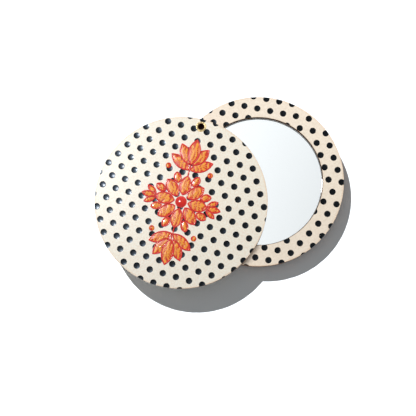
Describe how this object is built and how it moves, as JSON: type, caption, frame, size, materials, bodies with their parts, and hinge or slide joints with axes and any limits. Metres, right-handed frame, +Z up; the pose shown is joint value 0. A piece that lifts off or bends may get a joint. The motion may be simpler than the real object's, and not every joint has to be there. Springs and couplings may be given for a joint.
{
  "type": "compact mirror",
  "caption": "Flat pocket mirror: two round boards pinned near the rim by an eyelet, with a dotted cover that swings aside from a recessed round mirror.",
  "frame": {"origin": "centre of the mirror half's underside, which is the face that it lies on", "axes": "+Z up through the mirror, away from the surface that the part lies on; +Y from the mirror's centre to the pivot"},
  "size_m": [0.112, 0.099, 0.0114],
  "materials": {
    "laser_cut_board": "satin",
    "plain_sheet": "satin",
    "lacquered_sheet": "gloss",
    "black_enamel": "gloss",
    "float_glass": "polished",
    "silver_coat": "polished",
    "backing_paint": "matte",
    "adhesive_foam": "matte",
    "eyelet_brass": "polished",
    "washer_nylon": "satin",
    "orange_enamel": "gloss",
    "red_enamel": "gloss",
    "yellow_enamel": "gloss"
  },
  "bodies": {
    "mirror_half": {"base_board": "laser_cut_board", "back_sheet": "plain_sheet", "ring_board": "laser_cut_board", "ring_sheet": "lacquered_sheet", "ring_dots": "black_enamel", "mirror_glass": "float_glass", "mirror_silvering": "silver_coat", "mirror_backing": "backing_paint", "mirror_adhesive": "adhesive_foam", "eyelet": "eyelet_brass", "tail_washer": "eyelet_brass", "spacer_washer": "washer_nylon"},
    "cover": {"cover_board": "laser_cut_board", "cover_sheet": "lacquered_sheet", "cover_dots": "black_enamel", "cover_lining": "plain_sheet", "motif_fill": "orange_enamel", "motif_outline": "red_enamel", "motif_stems": "red_enamel", "motif_veins": "yellow_enamel", "motif_centre": "red_enamel"}
  },
  "joints": [
    {"name": "cover_swivel", "type": "hinge", "parent": "mirror_half", "child": "cover", "pos_m": [0, 0.0364, 0.0088], "axis": [0, 0, 1], "continuous": true}
  ]
}
